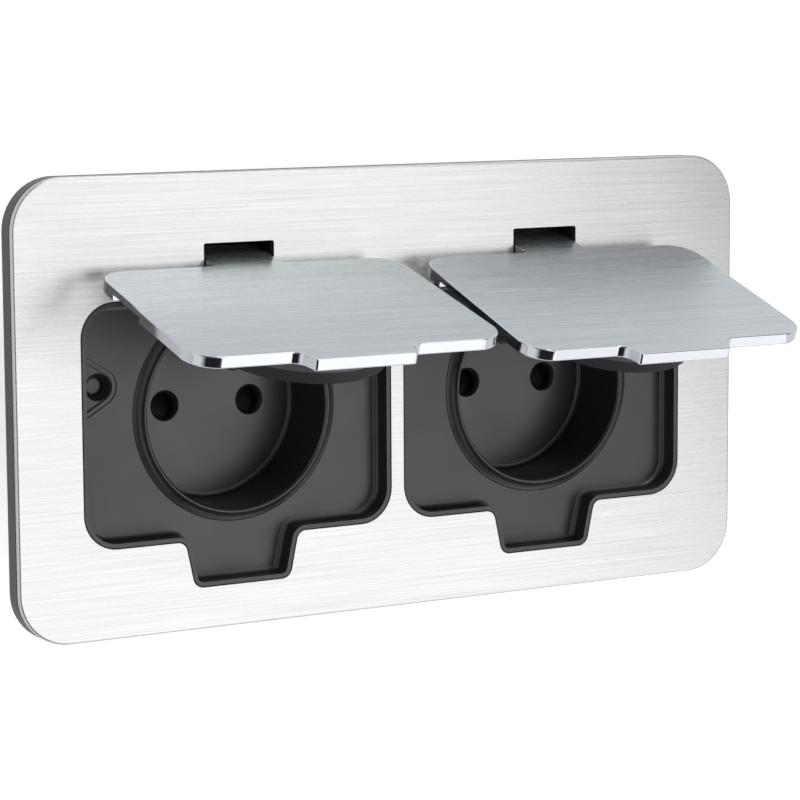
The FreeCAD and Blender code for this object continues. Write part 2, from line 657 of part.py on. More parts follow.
def terminal_screw_line(centre, outward):
    """Start at the wall of the wire hole, end at the outer face of the terminal."""
    height = Vector(0, 0, CHAMBER_BOTTOM_Z + TERMINAL_SCREW_HEIGHT)
    start = centre + outward * WIRE_HOLE_RADIUS + height
    end = centre + outward * (TERMINAL_WIDTH / 2) + height
    return start, end


def spring_end_y():
    return SHUTTER_FRONT - SPRING_THICKNESS / 2 - (SPRING_RUNS - 1) * SPRING_PITCH


def make_socket_cup(side):
    centre = cup_centre(side)
    x, y = centre.x, centre.y
    solids = [make_cup_body(side)] + shutter_rails(x, y)
    for hand in (-1, 1):
        solids.append(upright(POST_RADIUS, x + hand * POST_X, y + hand * POST_Y,
                              CHAMBER_BOTTOM_Z, CHAMBER_TOP_Z))
    stop_y = spring_end_y() - SPRING_THICKNESS / 2
    solids.append(box(x - SPRING_HALF_WIDTH - SPRING_PITCH, x + SPRING_HALF_WIDTH + SPRING_PITCH,
                      y + stop_y - RAIL_WALL, y + stop_y, SHUTTER_BOTTOM_Z, CHAMBER_TOP_Z))
    for lug in lug_places(side):
        arm = box(-LUG_END_RADIUS, LUG_END_RADIUS, CHAMBER_RADIUS, LUG_RADIUS,
                  -LUG_BOSS_DEPTH - LUG_THICKNESS, -LUG_BOSS_DEPTH)
        heading = math.degrees(math.atan2(lug.y - y, lug.x - x)) - 90
        arm.rotate(Vector(0, 0, 0), Z_AXIS, heading)
        arm.translate(Vector(x, y, 0))
        solids.append(arm)
        solids.append(upright(LUG_END_RADIUS, lug.x, lug.y,
                              -LUG_BOSS_DEPTH - LUG_THICKNESS, -LUG_BOSS_DEPTH))
    cuts = []
    for hand in (-1, 1):
        pin_x = x + hand * PIN_X
        lead_z = CUP_FLOOR_Z - PIN_HOLE_LEAD_DEPTH
        cuts.append(upright(PIN_HOLE_RADIUS, pin_x, y, CHAMBER_TOP_Z, CUP_FLOOR_Z))
        cuts.append(Part.makeCone(PIN_HOLE_RADIUS, PIN_HOLE_LEAD_RADIUS, PIN_HOLE_LEAD_DEPTH,
                                  Vector(pin_x, y, lead_z)))
        cuts.append(upright(COVER_SCREW_RADIUS, x + hand * POST_X, y + hand * POST_Y,
                            CHAMBER_BOTTOM_Z, CHAMBER_BOTTOM_Z + COVER_SCREW_LENGTH))
    earth_hole = EARTH_PIN_RADIUS + EARTH_PIN_CLEARANCE
    cuts.append(upright(earth_hole, x, y + EARTH_PIN_OFFSET, CHAMBER_TOP_Z, CUP_FLOOR_Z))
    well_front = WELL_FRONT_Y - WELL_WALL - SWING_CLEARANCE
    cuts.append(box(x - CUP_FLANGE_RADIUS, x + CUP_FLANGE_RADIUS, well_front, y + 2 * CUP_FLANGE_RADIUS,
                    -CUP_FLANGE_THICKNESS, 0))
    for place, outward in terminals(x, y).values():
        height = Vector(0, 0, CHAMBER_BOTTOM_Z + TERMINAL_SCREW_HEIGHT)
        start = place + outward * (TERMINAL_WIDTH / 2) + height
        cuts.append(rod(DRIVER_HOLE_RADIUS, start, start + outward * CUP_BARREL_RADIUS))
    for lug in lug_places(side):
        cuts.append(upright(INSERT_SCREW_RADIUS + SCREW_HOLE_CLEARANCE, lug.x, lug.y,
                            -LUG_BOSS_DEPTH - LUG_THICKNESS, -LUG_BOSS_DEPTH))
        cuts.append(upright(LUG_END_RADIUS + LUG_BOSS_GAP, lug.x, lug.y, -CUP_FLANGE_THICKNESS, 0))
    return fuse(solids).cut(cuts)


def make_earth_pin(side):
    centre = cup_centre(side)
    top = FACE_Z - EARTH_PIN_BELOW_FACE
    foot = CONTACT_TOP_Z
    x, y = centre.x, centre.y + EARTH_PIN_OFFSET
    stem = upright(EARTH_PIN_RADIUS, x, y, foot, top)
    stem = stem.makeFillet(EARTH_PIN_NOSE, level_edges(stem, top))
    collar = upright(EARTH_PIN_COLLAR, x, y, CHAMBER_TOP_Z - EARTH_PIN_COLLAR_THICKNESS, CHAMBER_TOP_Z)
    rivet = upright(WIRE_HOLE_RADIUS, x, y, foot - STRAP_THICKNESS, foot)
    head = upright(EARTH_PIN_RADIUS, x, y, foot - 2 * STRAP_THICKNESS, foot - STRAP_THICKNESS)
    return fuse([stem, collar, rivet, head])


def terminal_block(centre, outward):
    """Brass cage with a wire hole from below and a tapped hole for its clamping screw."""
    half = TERMINAL_WIDTH / 2
    top = CHAMBER_BOTTOM_Z + TERMINAL_HEIGHT
    cage = box(centre.x - half, centre.x + half, centre.y - half, centre.y + half, CHAMBER_BOTTOM_Z, top)
    start, end = terminal_screw_line(centre, outward)
    wire = upright(WIRE_HOLE_RADIUS, centre.x, centre.y, CHAMBER_BOTTOM_Z, top - STRAP_THICKNESS)
    thread = rod(TERMINAL_SCREW_RADIUS + SCREW_HOLE_CLEARANCE, start - outward * WIRE_HOLE_RADIUS, end)
    return cage.cut([wire, thread])


def make_line_contact(side, pole):
    centre = cup_centre(side)
    x, y = centre.x, centre.y
    hand = -1 if pole == "live" else 1
    pin_x = x + hand * PIN_X
    place, outward = terminals(x, y)[pole]
    sleeve = upright(CONTACT_RADIUS, pin_x, y, CHAMBER_BOTTOM_Z, CONTACT_TOP_Z)
    strap = box(pin_x, place.x + hand * TERMINAL_WIDTH / 2, y + TERMINAL_Y, y,
                CHAMBER_BOTTOM_Z, CHAMBER_BOTTOM_Z + STRAP_THICKNESS)
    wire = upright(WIRE_HOLE_RADIUS, place.x, place.y, CHAMBER_BOTTOM_Z, CONTACT_TOP_Z)
    body = fuse([sleeve, strap.cut(wire), terminal_block(place, outward)])
    bore = upright(CONTACT_BORE, pin_x, y, CHAMBER_BOTTOM_Z + STRAP_THICKNESS, CONTACT_TOP_Z)
    slot = box(pin_x - CONTACT_SLOT / 2, pin_x + CONTACT_SLOT / 2, y, y + CONTACT_RADIUS,
               CHAMBER_BOTTOM_Z + TERMINAL_HEIGHT / 2, CONTACT_TOP_Z)
    return body.cut([bore, slot])


def make_earth_strap(side):
    centre = cup_centre(side)
    x, y = centre.x, centre.y
    place, outward = terminals(x, y)["earth"]
    half = TERMINAL_WIDTH / 2
    pin_y = y + EARTH_PIN_OFFSET
    top = CONTACT_TOP_Z
    plate = box(x - half, x + half, pin_y - half, place.y + half, top - STRAP_THICKNESS, top)
    leg = box(x - half, x + half, place.y + half - STRAP_THICKNESS, place.y + half,
              CHAMBER_BOTTOM_Z + TERMINAL_HEIGHT, top)
    hole = upright(WIRE_HOLE_RADIUS, x, pin_y, top - STRAP_THICKNESS, top)
    return fuse([plate.cut(hole), leg, terminal_block(place, outward)])


def make_terminal_screws():
    screws = []
    for side in SIDES:
        centre = cup_centre(side)
        for place, outward in terminals(centre.x, centre.y).values():
            start, end = terminal_screw_line(place, outward)
            shank = rod(TERMINAL_SCREW_RADIUS, start, end)
            head = rod(TERMINAL_HEAD_RADIUS, end, end + outward * TERMINAL_HEAD_THICKNESS)
            screws.append(fuse([shank, head]))
    return Part.makeCompound(screws)


def make_shutter(side):
    centre = cup_centre(side)
    x, y = centre.x, centre.y
    half = SHUTTER_HALF_WIDTH
    body = box(x - half, x + half, y + SHUTTER_FRONT, y + SHUTTER_REAR, SHUTTER_BOTTOM_Z, SHUTTER_TOP_Z)
    window_rear = SHUTTER_TRAVEL + SHUTTER_WINDOW_HALF
    window_front = SHUTTER_TRAVEL - SHUTTER_WINDOW_HALF
    cuts = [box(x - SHUTTER_NOTCH_HALF, x + SHUTTER_NOTCH_HALF, y + SHUTTER_NOTCH_FRONT,
                y + SHUTTER_REAR, SHUTTER_BOTTOM_Z, SHUTTER_TOP_Z)]
    for hand in (-1, 1):
        start = x + hand * PIN_X - SHUTTER_WINDOW_HALF
        ramp = [Vector(start, y - SHUTTER_WINDOW_HALF, SHUTTER_TOP_Z),
                Vector(start, y + window_front, SHUTTER_BOTTOM_Z),
                Vector(start, y + window_rear, SHUTTER_BOTTOM_Z),
                Vector(start, y + window_rear, SHUTTER_TOP_Z),
                Vector(start, y - SHUTTER_WINDOW_HALF, SHUTTER_TOP_Z)]
        face = Part.Face(Part.makePolygon(ramp))
        cuts.append(face.extrude(Vector(2 * SHUTTER_WINDOW_HALF, 0, 0)))
    return body.cut(cuts)


def make_shutter_spring(side):
    """Flat strip folded to and fro between the shutter and its stop."""
    centre = cup_centre(side)
    x = centre.x
    half = SPRING_THICKNESS / 2
    bottom = (SHUTTER_TOP_Z + SHUTTER_BOTTOM_Z - SPRING_HEIGHT) / 2
    top = bottom + SPRING_HEIGHT
    solids = []
    for i in range(SPRING_RUNS):
        run_y = centre.y + SHUTTER_FRONT - half - i * SPRING_PITCH
        solids.append(box(x - SPRING_HALF_WIDTH, x + SPRING_HALF_WIDTH, run_y - half, run_y + half,
                          bottom, top))
        if i < SPRING_RUNS - 1:
            hand = 1 if i % 2 == 0 else -1
            bend_x = x + hand * SPRING_HALF_WIDTH
            bend_y = run_y - SPRING_PITCH / 2
            bend = ring(SPRING_PITCH / 2 + half, SPRING_PITCH / 2 - half, bend_x, bend_y, bottom, top)
            keep = box(bend_x, bend_x + hand * SPRING_PITCH, bend_y - SPRING_PITCH,
                       bend_y + SPRING_PITCH, bottom, top)
            solids.append(bend.common(keep))
    return fuse(solids)


def make_contact_cover(side):
    centre = cup_centre(side)
    x, y = centre.x, centre.y
    bottom = CHAMBER_BOTTOM_Z - COVER_THICKNESS
    plate = upright(CUP_BARREL_RADIUS, x, y, bottom, CHAMBER_BOTTOM_Z)
    plate = plate.makeFillet(COVER_THICKNESS / 3, level_edges(plate, bottom))
    cuts = []
    for place, _ in terminals(x, y).values():
        cuts.append(upright(WIRE_HOLE_RADIUS + CABLE_CORE_GAP, place.x, place.y, bottom, CHAMBER_BOTTOM_Z))
    for hand in (-1, 1):
        screw_x = x + hand * POST_X
        screw_y = y + hand * POST_Y
        cuts.append(upright(COVER_SCREW_RADIUS + SCREW_HOLE_CLEARANCE, screw_x, screw_y,
                            bottom, CHAMBER_BOTTOM_Z))
        cuts.append(upright(COVER_SCREW_HEAD_RADIUS + SCREW_HOLE_CLEARANCE, screw_x, screw_y,
                            bottom, bottom + COVER_SCREW_HEAD_DEPTH))
    return plate.cut(cuts)


def make_cover_screws():
    screws = []
    bottom = CHAMBER_BOTTOM_Z - COVER_THICKNESS
    shoulder = bottom + COVER_SCREW_HEAD_DEPTH
    for side in SIDES:
        centre = cup_centre(side)
        for hand in (-1, 1):
            x = centre.x + hand * POST_X
            y = centre.y + hand * POST_Y
            head = upright(COVER_SCREW_HEAD_RADIUS, x, y, bottom, shoulder)
            shank = upright(COVER_SCREW_RADIUS, x, y, shoulder, bottom + COVER_SCREW_LENGTH)
            screws.append(fuse([head, shank]))
    return Part.makeCompound(screws)


def make_insert_screws():
    screws = []
    seat = -LUG_BOSS_DEPTH - LUG_THICKNESS
    for side in SIDES:
        for lug in lug_places(side):
            head = upright(INSERT_SCREW_HEAD_RADIUS, lug.x, lug.y, seat - INSERT_SCREW_HEAD_HEIGHT, seat)
            head = head.makeFillet(INSERT_SCREW_HEAD_HEIGHT / 2,
                                   level_edges(head, seat - INSERT_SCREW_HEAD_HEIGHT))
            shank = upright(INSERT_SCREW_RADIUS, lug.x, lug.y, seat, seat + INSERT_SCREW_LENGTH)
            screws.append(fuse([head, shank]))
    return Part.makeCompound(screws)


def make_frame_screws():
    """The two screws, with domed heads, that draw the frame down onto the box."""
    screws = []
    for side in SIDES:
        place = frame_screw_place(side)
        head = upright(FRAME_SCREW_HEAD_RADIUS, place.x, place.y, FRAME_LEDGE_Z, POCKET_HEAD_Z)
        head = head.makeFillet(FRAME_SCREW_HEAD_HEIGHT / 2, level_edges(head, POCKET_HEAD_Z))
        shank = upright(FRAME_SCREW_RADIUS, place.x, place.y,
                        FRAME_LEDGE_Z - FRAME_SCREW_LENGTH, FRAME_LEDGE_Z)
        screws.append(fuse([head, shank]))
    return Part.makeCompound(screws)


# Hinge and lid

def swing_open(shape, side):
    """Turn a piece drawn with the lid closed to the pose in which it stands open."""
    opened = shape.copy()
    opened.rotate(Vector(0, HINGE_Y, HINGE_Z), X_AXIS, -LID_ANGLES[side])
    return opened


def hinge_rod(radius, x0, x1):
    return rod(radius, Vector(x0, HINGE_Y, HINGE_Z), Vector(x1, HINGE_Y, HINGE_Z))


def make_hinge_pin(side):
    x = socket_x(side)
    reach = WELL_HALF_WIDTH + PIN_SEAT
    return hinge_rod(HINGE_PIN_RADIUS, x - reach, x + reach)


def make_pin_keepers():
    """Moulded keys pressed into the channels behind the pins."""
    keys = []
    for side in SIDES:
        inward = -SIDES[side]
        near = socket_x(side) + inward * (WELL_HALF_WIDTH + PIN_SEAT + KEEPER_GAP)
        far = near + inward * KEEPER_LENGTH
        half = PIN_SEAT_RADIUS - KEEPER_GAP
        lower = box(near, far, HINGE_Y - half, HINGE_Y + half, 0, HINGE_Z)
        keys.append(fuse([lower, hinge_rod(half, min(near, far), max(near, far))]))
    return Part.makeCompound(keys)


def make_friction_sleeve(side):
    x = socket_x(side)
    sleeve = hinge_rod(SLEEVE_RADIUS, x - TONGUE_HALF_WIDTH, x + TONGUE_HALF_WIDTH)
    sleeve = sleeve.cut(hinge_rod(SLEEVE_BORE, x - TONGUE_HALF_WIDTH, x + TONGUE_HALF_WIDTH))
    return swing_open(sleeve, side)


def make_lid(side):
    x = socket_x(side)
    plate = prism(shifted(lid_outline(), x), LID_BOTTOM_Z, FACE_Z)
    plate = plate.makeFillet(LID_EDGE_ROUND, level_edges(plate, FACE_Z) + level_edges(plate, LID_BOTTOM_Z))
    half = TONGUE_HALF_WIDTH
    knuckle = hinge_rod(KNUCKLE_RADIUS, x - half, x + half)
    cuts = [hinge_rod(SLEEVE_RADIUS, x - half, x + half)]
    for hand in (-1, 1):
        edge = x + hand * LID_HALF_WIDTH
        cuts.append(box(edge - hand * RELIEF_WIDTH, edge, RELIEF_FRONT, RELIEF_REAR,
                        LID_BOTTOM_Z, LID_BOTTOM_Z + RELIEF_DEPTH))
    return swing_open(fuse([plate, knuckle]).cut(cuts), side)


def make_seal_carrier(side):
    """Moulded ring under the lid with a thin plate against it and a spigot for the seal."""
    centre = cup_centre(side)
    x, y = centre.x, centre.y
    inner = CARRIER_RADIUS - CARRIER_WALL
    body = ring(CARRIER_RADIUS, inner, x, y, LID_BOTTOM_Z - CARRIER_HEIGHT, LID_BOTTOM_Z)
    plate = upright(CARRIER_RADIUS, x, y, LID_BOTTOM_Z - CARRIER_PLATE, LID_BOTTOM_Z)
    spigot = ring(CARRIER_RADIUS - SEAL_WALL, inner, x, y, LID_BOTTOM_Z - SEAL_REACH, LID_BOTTOM_Z)
    return swing_open(fuse([body, plate, spigot]), side)


def make_seal_ring(side):
    centre = cup_centre(side)
    seal = ring(CARRIER_RADIUS, CARRIER_RADIUS - SEAL_WALL, centre.x, centre.y,
                LID_BOTTOM_Z - SEAL_REACH, LID_BOTTOM_Z - CARRIER_HEIGHT)
    return swing_open(seal, side)


# Floor box and cable entries

def box_barrel(side, top_radius, depth, fillet):
    """One round half of the box: a drafted wall turned in to a flat floor by a fillet."""
    bottom_radius = top_radius - BOX_DRAFT
    bend = fillet * (1 - math.sqrt(0.5))
    floor_edge = Vector(bottom_radius - fillet, 0, -depth)
    corner = Vector(bottom_radius - bend, 0, -depth + bend)
    foot = Vector(bottom_radius, 0, -depth + fillet)
    edges = profile_lines([Vector(0, 0, 0), Vector(0, 0, -depth), floor_edge])
    edges.append(Part.Arc(floor_edge, corner, foot).toShape())
    edges += profile_lines([foot, Vector(top_radius, 0, 0), Vector(0, 0, 0)])
    return turned(edges, socket_x(side), 0)


def entry_block(side, half, y0, y1):
    """Block with rounded corners that lies along the cable's way in."""
    block = prism(rectangle(half, half, ENTRY_CORNER), y0, y1)
    block.rotate(Vector(0, 0, 0), X_AXIS, -90)
    block.translate(Vector(socket_x(side), 0, ENTRY_Z))
    return block


def make_back_box():
    reach = SOCKET_PITCH / 2
    web_inner = BOX_WEB_HALF - BOX_WALL
    outer = [box(-reach, reach, -BOX_WEB_HALF, BOX_WEB_HALF, -BOX_DEPTH, 0)]
    inner = [box(-reach, reach, -web_inner, web_inner, -BOX_DEPTH + BOX_FLOOR, 0)]
    for side in SIDES:
        outer.append(box_barrel(side, BOX_BARREL_RADIUS, BOX_DEPTH, BOX_BOTTOM_FILLET))
        outer.append(entry_block(side, ENTRY_PAD_HALF, 0, ENTRY_PAD_REAR))
        inner.append(box_barrel(side, BOX_BARREL_RADIUS - BOX_WALL, BOX_DEPTH - BOX_FLOOR,
                                BOX_BOTTOM_FILLET - BOX_WALL))
        inner.append(entry_block(side, ENTRY_POCKET_HALF, 0, ENTRY_PAD_REAR - ENTRY_WALL))
    shell = fuse(outer).cut(fuse(inner))
    solids = [shell]
    cuts = []
    for side in SIDES:
        place = frame_screw_place(side)
        outward = SIDES[side]
        wall_x = socket_x(side) + outward * (BOX_BARREL_RADIUS - BOX_WALL - BOX_DRAFT)
        column_foot = -BOX_DEPTH + BOX_FLOOR - BOX_FLOOR / 2
        solids.append(upright(BOX_COLUMN_RADIUS, place.x, place.y, column_foot, FRAME_BOSS_Z))
        solids.append(box(place.x, wall_x, place.y - BOX_RIB / 2, place.y + BOX_RIB / 2,
                          -BOX_DEPTH + BOX_BOTTOM_FILLET, FRAME_BOSS_Z))
        cuts.append(upright(FRAME_SCREW_RADIUS, place.x, place.y,
                            FRAME_LEDGE_Z - FRAME_SCREW_LENGTH, FRAME_BOSS_Z))
        cuts.append(entry_block(side, ENTRY_HOLE_HALF, 0, ENTRY_PAD_REAR))
        for hand in (-1, 1):
            cuts.append(upright(BOX_FIXING_RADIUS, socket_x(side), hand * BOX_FIXING_Y,
                                -BOX_DEPTH, -BOX_DEPTH + BOX_FLOOR))
    return fuse(solids).cut(cuts)


def make_cable_grommet(side):
    inner_face = ENTRY_PAD_REAR - ENTRY_WALL
    flange_half = ENTRY_HOLE_HALF + GROMMET_FLANGE_OVERLAP
    nose_start = ENTRY_PAD_REAR + GROMMET_FLANGE
    x = socket_x(side)
    nose = Part.makeCone(ENTRY_HOLE_HALF, GROMMET_NOSE_RADIUS, GROMMET_NOSE,
                         Vector(x, nose_start, ENTRY_Z), Y_AXIS)
    body = fuse([entry_block(side, ENTRY_HOLE_HALF, inner_face - GROMMET_FLANGE, nose_start),
                 entry_block(side, flange_half, inner_face - GROMMET_FLANGE, inner_face),
                 entry_block(side, flange_half, ENTRY_PAD_REAR, nose_start), nose])
    nose_end = nose_start + GROMMET_NOSE
    return body.cut(rod(GROMMET_BORE, Vector(x, 0, ENTRY_Z), Vector(x, nose_end, ENTRY_Z)))


# Write every piece

def all_pieces():
    pieces = {"cover_plate": make_cover_plate(), "bonding_sheet": make_bonding_sheet(),
              "base_frame": make_base_frame(), "flange_gasket": make_flange_gasket(),
              "back_box": make_back_box(), "terminal_screws": make_terminal_screws(),
              "cover_screws": make_cover_screws(), "insert_screws": make_insert_screws(),
              "frame_screws": make_frame_screws(), "pin_keepers": make_pin_keepers()}
    for side in SIDES:
        pieces["socket_cup_" + side] = make_socket_cup(side)
        pieces["earth_pin_" + side] = make_earth_pin(side)
        pieces["earth_strap_" + side] = make_earth_strap(side)
        pieces["live_contact_" + side] = make_line_contact(side, "live")
        pieces["neutral_contact_" + side] = make_line_contact(side, "neutral")
        pieces["shutter_" + side] = make_shutter(side)
        pieces["shutter_spring_" + side] = make_shutter_spring(side)
        pieces["contact_cover_" + side] = make_contact_cover(side)
        pieces["cable_grommet_" + side] = make_cable_grommet(side)
        pieces["hinge_pin_" + side] = make_hinge_pin(side)
        pieces["friction_sleeve_" + side] = make_friction_sleeve(side)
        pieces["lid_" + side] = make_lid(side)
        pieces["seal_carrier_" + side] = make_seal_carrier(side)
        pieces["seal_ring_" + side] = make_seal_ring(side)
    return pieces


os.makedirs("parts", exist_ok=True)
for name, shape in all_pieces().items():
    shape.exportStep("parts/" + name + ".step")
    print(name, len(shape.Solids), shape.isValid(), round(shape.Volume, 2))
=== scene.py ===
# %% [markdown]
# # Floor socket box: the visual model
# A brushed metal plate on a moulded black frame, two round sockets in trays under it, and two hinged
# lids that stand open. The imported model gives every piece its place, and this script gives each one
# the surface that the real thing has. Lengths are in metres, and small ones are written in mm.

# %% Load the frame
import bpy
import bmesh
import math
from mathutils import Matrix, Vector
from mathutils.bvhtree import BVHTree


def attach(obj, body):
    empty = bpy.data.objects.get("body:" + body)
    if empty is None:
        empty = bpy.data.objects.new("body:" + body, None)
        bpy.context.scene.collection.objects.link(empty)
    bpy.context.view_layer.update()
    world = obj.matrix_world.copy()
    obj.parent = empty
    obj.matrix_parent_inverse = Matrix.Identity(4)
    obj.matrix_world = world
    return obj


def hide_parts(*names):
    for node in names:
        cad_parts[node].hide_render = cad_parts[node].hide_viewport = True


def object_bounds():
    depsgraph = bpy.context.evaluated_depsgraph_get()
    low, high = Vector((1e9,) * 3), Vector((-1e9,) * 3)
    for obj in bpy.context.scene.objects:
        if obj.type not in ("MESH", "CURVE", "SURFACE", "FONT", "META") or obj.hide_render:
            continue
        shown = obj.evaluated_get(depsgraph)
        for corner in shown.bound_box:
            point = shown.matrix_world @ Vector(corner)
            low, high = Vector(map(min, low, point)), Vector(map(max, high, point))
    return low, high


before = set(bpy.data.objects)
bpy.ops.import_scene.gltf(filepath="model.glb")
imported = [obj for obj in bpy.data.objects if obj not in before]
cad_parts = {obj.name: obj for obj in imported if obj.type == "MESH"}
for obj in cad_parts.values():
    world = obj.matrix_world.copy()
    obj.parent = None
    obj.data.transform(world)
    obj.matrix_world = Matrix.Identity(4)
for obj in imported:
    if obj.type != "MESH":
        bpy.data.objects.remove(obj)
cad_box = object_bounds()
MM = 0.001

# %% [markdown]
# ## Camera
# The photo was taken with a long lens from above and to the left of the plate. The place of the camera
# was solved from straight edges and circles of known size on the real object. A camera could also be
# aimed by hand, but then every piece would sit a little off, so the solved axes are used as they are.

# %% Camera
PHOTO_SIDE = 800
FOCAL_PIXELS = 2792.7
SENSOR = 36.0
PRINCIPAL_POINT = (303.235, 383.592)
CLIP_START = 0.01
FACE_Z = 5.2 * MM
CAMERA_PLACE = Vector((-281.434 * MM, 69.861 * MM, 484.325 * MM + FACE_Z))
CAMERA_RIGHT = Vector((0.880567, -0.009795, 0.473821)).normalized()
CAMERA_BACK = Vector((-0.469248, 0.122051, 0.874591)).normalized()


def make_camera():
    data = bpy.data.cameras.new("photo_camera")
    data.sensor_fit = "HORIZONTAL"
    data.sensor_width = SENSOR
    data.lens = FOCAL_PIXELS * SENSOR / PHOTO_SIDE
    data.shift_x = (PHOTO_SIDE / 2 - PRINCIPAL_POINT[0]) / PHOTO_SIDE
    data.shift_y = (PRINCIPAL_POINT[1] - PHOTO_SIDE / 2) / PHOTO_SIDE
    data.clip_start = CLIP_START
    camera = bpy.data.objects.new("photo_camera", data)
    bpy.context.scene.collection.objects.link(camera)
    up = CAMERA_BACK.cross(CAMERA_RIGHT).normalized()
    right = up.cross(CAMERA_BACK).normalized()
    turn = Matrix((right, up, CAMERA_BACK)).transposed().to_4x4()
    camera.matrix_world = Matrix.Translation(CAMERA_PLACE) @ turn
    bpy.context.scene.camera = camera
    return camera


camera = make_camera()
lens = camera.data
print("lens", round(lens.lens, 2), "mm, shift", round(lens.shift_x, 4), round(lens.shift_y, 4))

# %% [markdown]
# ## Studio
# Polished and brushed metal shows the room more than itself, so the room is laid out by what each face
# mirrors. The key softbox fills what the plate mirrors and leaves its upper right corner darker. The
# rear one shows in the lids by way of the plate, and the side one in their front edges. All three stand
# to the right, which puts the right wall of each cup in shade. The low part of the room is a bright
# backdrop, its ceiling is dim but for a pale patch overhead, and a black flag hangs at the front left,
# where the rounded corners of the lids find their dark bands. The camera sees plain white instead, and
# matte surfaces see an even grey.

# %% World and lamps
bpy.context.scene.view_settings.view_transform = "Standard"


def srgb(code):
    """Turn a hex colour as seen on a screen into the linear colour that a shader wants."""
    def linear(byte):
        value = byte / 255
        return value / 12.92 if value <= 0.04045 else ((value + 0.055) / 1.055) ** 2.4
    return tuple(linear(int(code[i:i + 2], 16)) for i in (1, 3, 5)) + (1.0,)


def add_node(tree, kind, settings=None, inputs=None, links=None):
    """Add one node, set its properties and sockets, and link sources into it."""
    node = tree.nodes.new(kind)
    for name, value in (settings or {}).items():
        setattr(node, name, value)
    for name, value in (inputs or {}).items():
        node.inputs[name].default_value = value
    for name, source in (links or {}).items():
        tree.links.new(source, node.inputs[name])
    return node


def mixed(tree, factor, first, second):
    """A shader that goes from the first to the second as the factor goes from 0 to 1."""
    return add_node(tree, "ShaderNodeMixShader",
                    links={0: factor, 1: first.outputs[0], 2: second.outputs[0]})


# Heights in the mirrored room are those of a unit sphere, and its levels are those of white
HORIZON_TOP = 0.38
CEILING_START = 0.58
CEILING_LEVEL = 0.28
ZENITH_EDGE = 0.9
ZENITH_LEVEL = 0.7
FLAG_DIRECTION = (-0.234, -0.585, 0.777)
FLAG_EDGE = math.cos(math.radians(34))
FLAG_CORE = math.cos(math.radians(22))
FLAG_LEVEL = 0.02


def make_world():
    world = bpy.data.worlds.new("studio_world")
    bpy.context.scene.world = world
    world.use_nodes = True
    tree = world.node_tree
    tree.nodes.clear()
    place = add_node(tree, "ShaderNodeTexCoord")
    split = add_node(tree, "ShaderNodeSeparateXYZ", links={"Vector": place.outputs["Generated"]})
    along_flag = add_node(tree, "ShaderNodeVectorMath", {"operation": "DOT_PRODUCT"},
                          {1: FLAG_DIRECTION}, {0: place.outputs["Generated"]})
    flagged = add_node(tree, "ShaderNodeMapRange", {"clamp": True},
                       {"From Min": FLAG_EDGE, "From Max": FLAG_CORE,
                        "To Min": CEILING_LEVEL, "To Max": FLAG_LEVEL},
                       {"Value": along_flag.outputs["Value"]})
    wall = add_node(tree, "ShaderNodeMapRange", {"clamp": True},
                    {"From Min": HORIZON_TOP, "From Max": CEILING_START, "To Min": 1.0},
                    {"Value": split.outputs["Z"], "To Max": flagged.outputs["Result"]})
    ceiling = add_node(tree, "ShaderNodeMapRange", {"clamp": True},
                       {"From Min": ZENITH_EDGE, "From Max": 1.0, "To Max": ZENITH_LEVEL},
                       {"Value": split.outputs["Z"], "To Min": wall.outputs["Result"]})
    room = add_node(tree, "ShaderNodeBackground", inputs={"Color": srgb("#d0d1d4")})
    mirrored = add_node(tree, "ShaderNodeBackground", inputs={"Color": srgb("#fafbff")},
                        links={"Strength": ceiling.outputs["Result"]})
    white = add_node(tree, "ShaderNodeBackground", inputs={"Color": (1, 1, 1, 1), "Strength": 1.0})
    path = add_node(tree, "ShaderNodeLightPath")
    shiny = add_node(tree, "ShaderNodeMath", {"operation": "MAXIMUM"},
                     links={0: path.outputs["Is Glossy Ray"], 1: path.outputs["Is Transmission Ray"]})
    seen_by_object = mixed(tree, shiny.outputs[0], room, mirrored)
    seen_by_all = mixed(tree, path.outputs["Is Camera Ray"], seen_by_object, white)
    add_node(tree, "ShaderNodeOutputWorld", links={"Surface": seen_by_all.outputs[0]})
    print(world.name, len(tree.nodes), "nodes")


def make_softbox(name, place, size, turn, brightness):
    """A flat lamp that faces down. Brightness is what a mirror would show of it, where 1 is white."""
    data = bpy.data.lights.new(name, "AREA")
    data.shape = "RECTANGLE"
    data.size, data.size_y = size
    data.energy = brightness * math.pi * size[0] * size[1]
    lamp = bpy.data.objects.new(name, data)
    bpy.context.scene.collection.objects.link(lamp)
    lamp.location = place
    lamp.rotation_euler = (0, 0, math.radians(turn))


make_world()

# Place, size, turn in degrees, and brightness
SOFTBOXES = {
    "key_softbox": ((0.53, -0.37, 1.0), (0.8, 1.16), 29, 1.35),
    "rear_softbox": ((0.42, 0.98, 1.0), (0.74, 0.78), 0, 2.75),
    "side_softbox": ((1.08, -1.02, 1.0), (0.8, 0.5), 0, 1.05),
}
for name, values in SOFTBOXES.items():
    make_softbox(name, *values)
    print(name, values)

# %% [markdown]
# ## Floor
# The box stands on a plain pale floor. For the camera the floor glows a little, so that it comes out
# white away from the object and still darkens where the object shades it. Seen from below the floor is
# clear, so that the underside shows.

# %% Floor
FLOOR_HALF = 3.0
FLOOR_GAP = 0.05 * MM
FLOOR_GLOW = 0.62
FLOOR_GLOW_MIRRORED = 0.12


